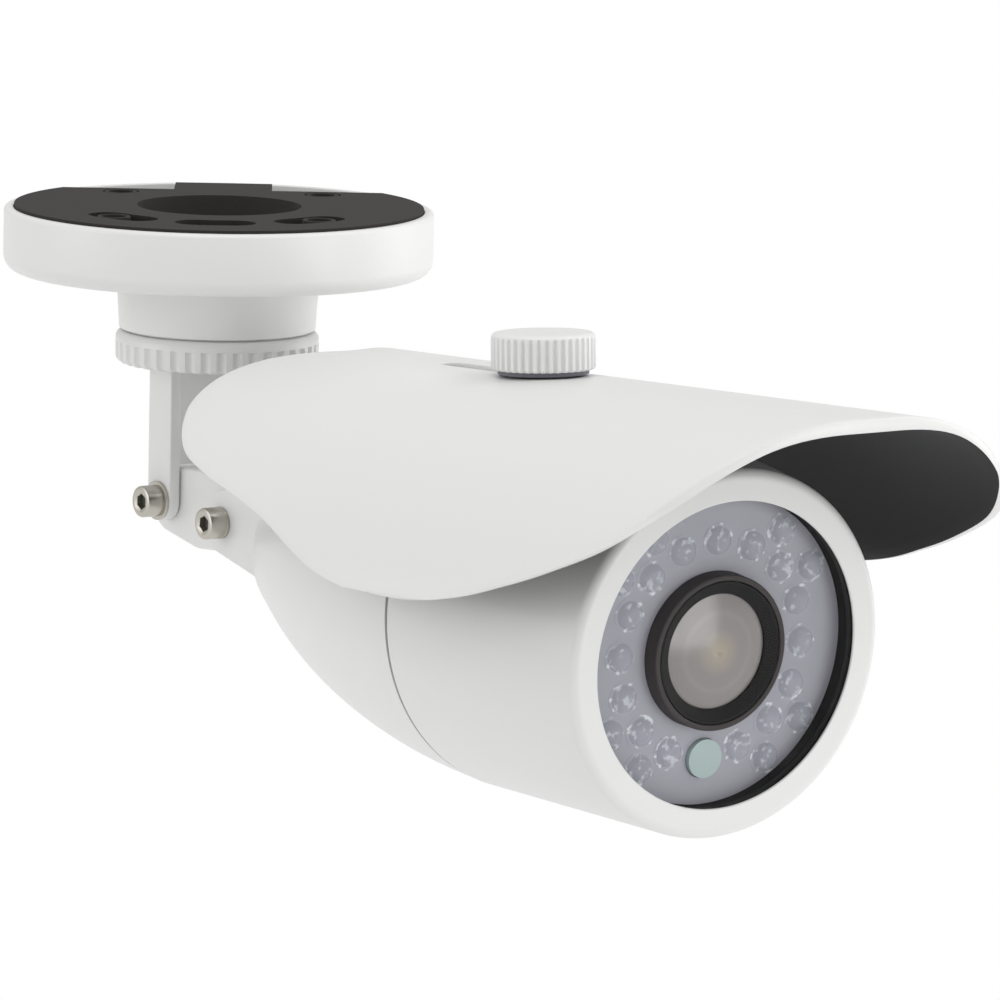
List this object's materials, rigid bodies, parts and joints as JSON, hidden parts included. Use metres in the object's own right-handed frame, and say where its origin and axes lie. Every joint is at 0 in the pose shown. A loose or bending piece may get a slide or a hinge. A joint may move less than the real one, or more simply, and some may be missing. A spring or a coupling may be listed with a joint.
{
  "type": "bullet security camera",
  "caption": "White bullet security camera on a swivel ceiling bracket, with infrared emitters round the lens and a sliding sunshield held by a knurled knob.",
  "frame": {"origin": "centre of the circle of fixing screws, on the mounting face of the base", "axes": "+Z out of the mounting face into the ceiling, along the pan axis; -Y is the way the camera looks; X is across the camera, along both pivot screws"},
  "size_m": [0.0932, 0.227, 0.0888],
  "materials": {
    "white_paint": "satin powder coat",
    "black_rubber": "matt",
    "stainless_steel": "turned",
    "dark_steel": "black oxide",
    "ivory_nylon": "matt",
    "window_glass": "polished",
    "lens_glass": "coated",
    "clear_epoxy": "clear",
    "black_plastic": "matt",
    "grey_plate": "matt",
    "pale_green_resin": "gloss",
    "green_board": "solder mask",
    "sensor_chip": "gloss",
    "brass": "turned",
    "grey_ribbon": "matt"
  },
  "bodies": {
    "base": {"base_plate": "white_paint", "base_pad": "black_rubber", "friction_washer": "ivory_nylon"},
    "ring": {"lock_ring": "white_paint"},
    "stem": {"swivel_stem": "white_paint", "stem_screw": "stainless_steel", "stem_washers": "stainless_steel", "stem_nut": "stainless_steel"},
    "link": {"pivot_link": "white_paint"},
    "head": {"head_screw": "stainless_steel", "head_washers": "stainless_steel", "head_nut": "stainless_steel", "rear_housing": "white_paint", "cable_grommet": "black_rubber", "seam_gasket": "black_rubber", "front_barrel": "white_paint", "front_bezel": "white_paint", "bezel_o_ring": "black_rubber", "front_glass": "window_glass", "light_sleeve": "black_plastic", "led_plate": "grey_plate", "led_board": "green_board", "ir_leds": "clear_epoxy", "photocell": "pale_green_resin", "lens_seal": "black_rubber", "lens_barrel": "black_plastic", "lens_glass": "lens_glass", "lens_lock_ring": "black_plastic", "lens_holder": "black_plastic", "image_sensor": "sensor_chip", "sensor_board": "green_board", "main_board": "green_board", "cable_socket": "ivory_nylon", "board_spacers": "brass", "board_screws": "stainless_steel", "board_ribbon": "grey_ribbon"},
    "shield": {"sunshield": "white_paint"},
    "knob": {"shield_knob": "white_paint", "knob_stud": "stainless_steel", "knob_washer": "dark_steel"}
  },
  "joints": [
    {"name": "lock_ring_turn", "type": "hinge", "parent": "base", "child": "ring", "pos_m": [0, 0, -0.0245], "axis": [0, 0, 1], "range_deg": [-270, 80]},
    {"name": "stem_pan", "type": "hinge", "parent": "base", "child": "stem", "pos_m": [0, 0, -0.0245], "axis": [0, 0, 1], "range_deg": [-175, 175]},
    {"name": "link_tilt", "type": "hinge", "parent": "stem", "child": "link", "pos_m": [0, 0, -0.051], "axis": [1, 0, 0], "range_deg": [-5, 90]},
    {"name": "camera_tilt", "type": "hinge", "parent": "link", "child": "head", "pos_m": [0, -0.0195, -0.0523], "axis": [1, 0, 0], "range_deg": [-8, 75]},
    {"name": "shield_slide", "type": "slide", "parent": "head", "child": "shield", "axis": [0, -0.9989, 0.0468], "range_m": [0, 0.026]},
    {"name": "knob_turn", "type": "hinge", "parent": "head", "child": "knob", "pos_m": [0, -0.09761, -0.01781], "axis": [0, 0.0468, 0.9989], "range_deg": [-300, 300]}
  ]
}
